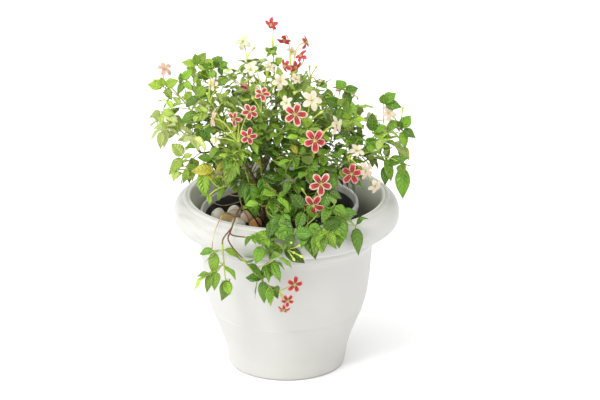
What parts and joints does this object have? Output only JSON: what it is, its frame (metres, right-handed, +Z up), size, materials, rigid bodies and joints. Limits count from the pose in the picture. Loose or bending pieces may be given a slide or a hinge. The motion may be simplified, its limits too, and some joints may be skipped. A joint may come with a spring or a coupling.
{
  "type": "potted rangoon creeper",
  "caption": "Bushy flowering climber with white to red star flowers, in a dark nursery pot with soil and pebbles that stands in a white rolled-rim planter.",
  "frame": {"origin": "middle of the planter's foot, on the surface that it stands on", "axes": "+Z up, front of the plant, where its trailing shoots hang over the rim, towards -Y"},
  "size_m": [0.3579, 0.3488, 0.4984],
  "materials": {
    "white_plastic": "semi-gloss moulded plastic",
    "grey_plastic": "satin moulded plastic",
    "bark": "thin brown bark",
    "grey_pebble": "smooth river pebble",
    "white_pebble": "smooth river pebble",
    "tan_pebble": "smooth river pebble",
    "cream_pebble": "smooth river pebble",
    "rust_pebble": "smooth river pebble",
    "pink_pebble": "smooth river pebble",
    "orange_pebble": "smooth river pebble",
    "potting_soil": "loose and dark, moist",
    "petal": "soft matt petal, from white to deep red",
    "leaf": "fresh glossy leaf"
  },
  "bodies": {
    "root": {"planter": "white_plastic", "nursery_pot": "grey_plastic", "woody_stem_left": "bark", "woody_stem_middle": "bark", "woody_stem_right": "bark", "woody_stem_back": "bark", "woody_stem_trailing": "bark", "pebble_1": "grey_pebble", "pebble_2": "white_pebble", "pebble_3": "tan_pebble", "pebble_4": "cream_pebble", "pebble_5": "rust_pebble", "pebble_6": "pink_pebble", "pebble_7": "orange_pebble", "pebble_8": "white_pebble", "soil": "potting_soil", "flower_cluster_top": "petal", "flower_cluster_crown": "petal", "flower_cluster_haze": "petal", "flower_cluster_white": "petal", "flower_cluster_rose": "petal", "flower_cluster_left_mid": "petal", "flower_cluster_center": "petal", "flower_cluster_big": "petal", "flower_cluster_low": "petal", "flower_cluster_right_low": "petal", "flower_cluster_right_far": "petal", "flower_cluster_left_high": "petal", "flower_cluster_left_pale": "petal", "flower_cluster_spire": "petal", "flower_cluster_back_right": "petal", "flower_cluster_trailing_right": "petal", "flower_cluster_rim_middle": "petal", "leafy_shoot_left_high": "leaf", "leafy_shoot_left_top": "leaf", "leafy_shoot_left_pale": "leaf", "leafy_shoot_left_far": "leaf", "leafy_shoot_left_low": "leaf", "leafy_shoot_left_mid": "leaf", "leafy_shoot_left_skirt": "leaf", "leafy_shoot_rose": "leaf", "leafy_shoot_top": "leaf", "leafy_shoot_crown": "leaf", "leafy_shoot_white": "leaf", "leafy_shoot_center": "leaf", "leafy_shoot_big": "leaf", "leafy_shoot_low": "leaf", "leafy_shoot_apron": "leaf", "leafy_shoot_right_low": "leaf", "leafy_shoot_right_drop": "leaf", "leafy_shoot_right_far": "leaf", "leafy_shoot_right_high": "leaf", "leafy_shoot_spire": "leaf", "leafy_shoot_haze": "leaf", "leafy_shoot_back_left": "leaf", "leafy_shoot_back_right": "leaf", "leafy_shoot_trailing_left": "leaf", "leafy_shoot_trailing_right": "leaf", "leafy_shoot_rim_middle": "leaf", "leafy_shoot_rim_right": "leaf"}
  },
  "joints": []
}
